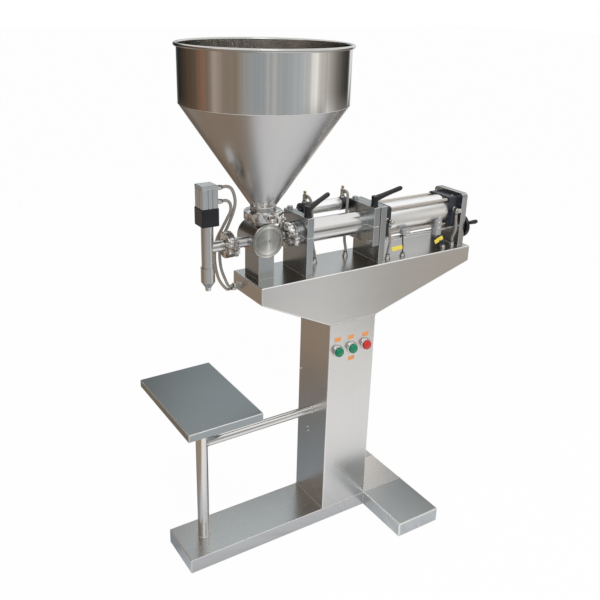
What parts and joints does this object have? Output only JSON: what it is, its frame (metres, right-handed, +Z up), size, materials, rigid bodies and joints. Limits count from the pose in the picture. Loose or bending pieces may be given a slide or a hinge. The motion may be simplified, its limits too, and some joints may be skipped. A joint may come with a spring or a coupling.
{
  "type": "piston filling machine",
  "caption": "Free-standing stainless filling machine: hopper, three-way valve, air-driven piston, shut-off nozzle, bottle tray and push buttons on a pedestal.",
  "frame": {"origin": "on the floor under the centre of the column, at the underside of the main foot", "axes": "+X along the cylinders from the nozzle to the handwheel, -Y the operator's side with the buttons, +Z up"},
  "size_m": [1.0025, 0.504, 1.408],
  "materials": {
    "sheet_steel": "brushed",
    "polished_steel": "polished",
    "machined_steel": "machined",
    "aluminium_tube": "anodised",
    "blue_cap": "satin",
    "black_plastic": "satin",
    "white_plastic": "satin",
    "grey_plastic": "satin",
    "green_cap": "gloss",
    "red_cap": "gloss",
    "seal_rubber": "matt",
    "hose_plastic": "satin"
  },
  "bodies": {
    "frame": {"main_foot": "sheet_steel", "side_feet": "sheet_steel", "column": "sheet_steel", "rear_cover": "sheet_steel", "cover_screws": "machined_steel", "beam": "sheet_steel", "tray_post": "sheet_steel", "tray": "sheet_steel", "tray_bar": "sheet_steel", "solenoid_bank": "grey_plastic", "button_bezels": "polished_steel", "contact_blocks": "white_plastic", "hopper": "polished_steel", "hopper_cone": "polished_steel", "clamp_gaskets": "seal_rubber", "hopper_clamp": "polished_steel", "port_clamps": "polished_steel", "valve_body": "polished_steel", "valve_cover": "machined_steel", "valve_support": "sheet_steel", "actuator_barrel": "aluminium_tube", "actuator_caps": "blue_cap", "actuator_bracket": "machined_steel", "air_fittings": "polished_steel", "front_plate": "machined_steel", "clamp_plate": "machined_steel", "plate_caps": "machined_steel", "mount_plate": "machined_steel", "end_plate": "machined_steel", "plate_bolts": "machined_steel", "filling_cylinder": "polished_steel", "drive_barrel": "aluminium_tube", "drive_caps": "blue_cap", "tie_rods": "machined_steel", "front_sensor": "grey_plastic", "nozzle_actuator": "machined_steel", "nozzle_adapter": "black_plastic", "nozzle_tube": "polished_steel", "nozzle_tip": "polished_steel", "air_hoses": "hose_plastic"},
    "piston": {"filling_piston": "machined_steel", "piston_seals": "seal_rubber", "piston_rod": "polished_steel", "drive_piston": "aluminium_tube"},
    "valve_rotor": {"valve_plug": "machined_steel", "valve_crank": "machined_steel"},
    "crank_drive": {"actuator_rod": "machined_steel"},
    "shutoff_stem": {"nozzle_stem": "polished_steel"},
    "stroke_wheel": {"stroke_screw": "machined_steel", "handwheel": "black_plastic"},
    "grip": {"wheel_grip": "black_plastic"},
    "carriage": {"sensor_carriage": "grey_plastic"},
    "start_cap": {"start_button": "green_cap"},
    "cycle_cap": {"cycle_button": "green_cap"},
    "stop_cap": {"stop_button": "red_cap"},
    "front_clamp_lever": {"front_lever": "black_plastic"},
    "rear_clamp_lever": {"rear_lever": "black_plastic"},
    "hopper_nut": {"hopper_wing_nut": "polished_steel"},
    "nozzle_nut": {"nozzle_wing_nut": "polished_steel"},
    "cylinder_nut": {"cylinder_wing_nut": "polished_steel"}
  },
  "joints": [
    {"name": "piston_stroke", "type": "slide", "parent": "frame", "child": "piston", "axis": [1, 0, 0], "range_m": [0, 0.17]},
    {"name": "valve_turn", "type": "hinge", "parent": "frame", "child": "valve_rotor", "pos_m": [-0.253, 0, 0.922], "axis": [0, -1, 0], "range_deg": [0, 90]},
    {"name": "crank_rod_slide", "type": "slide", "parent": "frame", "child": "crank_drive", "axis": [-1, 0, 0], "range_m": [0, 0.0611]},
    {"name": "stem_lift", "type": "slide", "parent": "frame", "child": "shutoff_stem", "axis": [0, 0, 1], "range_m": [0, 0.012]},
    {"name": "stroke_wheel_turn", "type": "hinge", "parent": "frame", "child": "stroke_wheel", "pos_m": [0.42, -0.036, 0.87], "axis": [1, 0, 0], "range_deg": [-2700, 540]},
    {"name": "grip_spin", "type": "hinge", "parent": "stroke_wheel", "child": "grip", "pos_m": [0.43, -0.064, 0.884], "axis": [1, 0, 0], "continuous": true},
    {"name": "carriage_slide", "type": "slide", "parent": "frame", "child": "carriage", "axis": [1, 0, 0], "range_m": [-0.09, 0.018]},
    {"name": "start_press", "type": "slide", "parent": "frame", "child": "start_cap", "axis": [0, 1, 0], "range_m": [0, 0.004], "stiffness_N_per_m": 800, "springref_m": -0.001},
    {"name": "cycle_press", "type": "slide", "parent": "frame", "child": "cycle_cap", "axis": [0, 1, 0], "range_m": [0, 0.004], "stiffness_N_per_m": 800, "springref_m": -0.001},
    {"name": "stop_press", "type": "slide", "parent": "frame", "child": "stop_cap", "axis": [0, 1, 0], "range_m": [0, 0.004], "stiffness_N_per_m": 800, "springref_m": -0.001},
    {"name": "front_lever_turn", "type": "hinge", "parent": "frame", "child": "front_clamp_lever", "pos_m": [-0.144, -0.044, 0.99], "axis": [0, 0, 1], "range_deg": [-90, 90]},
    {"name": "rear_lever_turn", "type": "hinge", "parent": "frame", "child": "rear_clamp_lever", "pos_m": [0.074, -0.044, 0.99], "axis": [0, 0, 1], "range_deg": [-90, 90]},
    {"name": "hopper_nut_turn", "type": "hinge", "parent": "frame", "child": "hopper_nut", "pos_m": [-0.244, -0.063, 0.988], "axis": [1, 0, 0], "continuous": true},
    {"name": "nozzle_nut_turn", "type": "hinge", "parent": "frame", "child": "nozzle_nut", "pos_m": [-0.357, -0.047, 0.931], "axis": [0, 0, 1], "continuous": true},
    {"name": "cylinder_nut_turn", "type": "hinge", "parent": "frame", "child": "cylinder_nut", "pos_m": [-0.18, -0.047, 0.931], "axis": [0, 0, 1], "continuous": true}
  ],
  "couplings": [
    {"joint": "crank_rod_slide", "follows": "valve_turn", "m_per_rad": 0.0387},
    {"joint": "carriage_slide", "follows": "stroke_wheel_turn", "m_per_rad": 0.0019099}
  ]
}
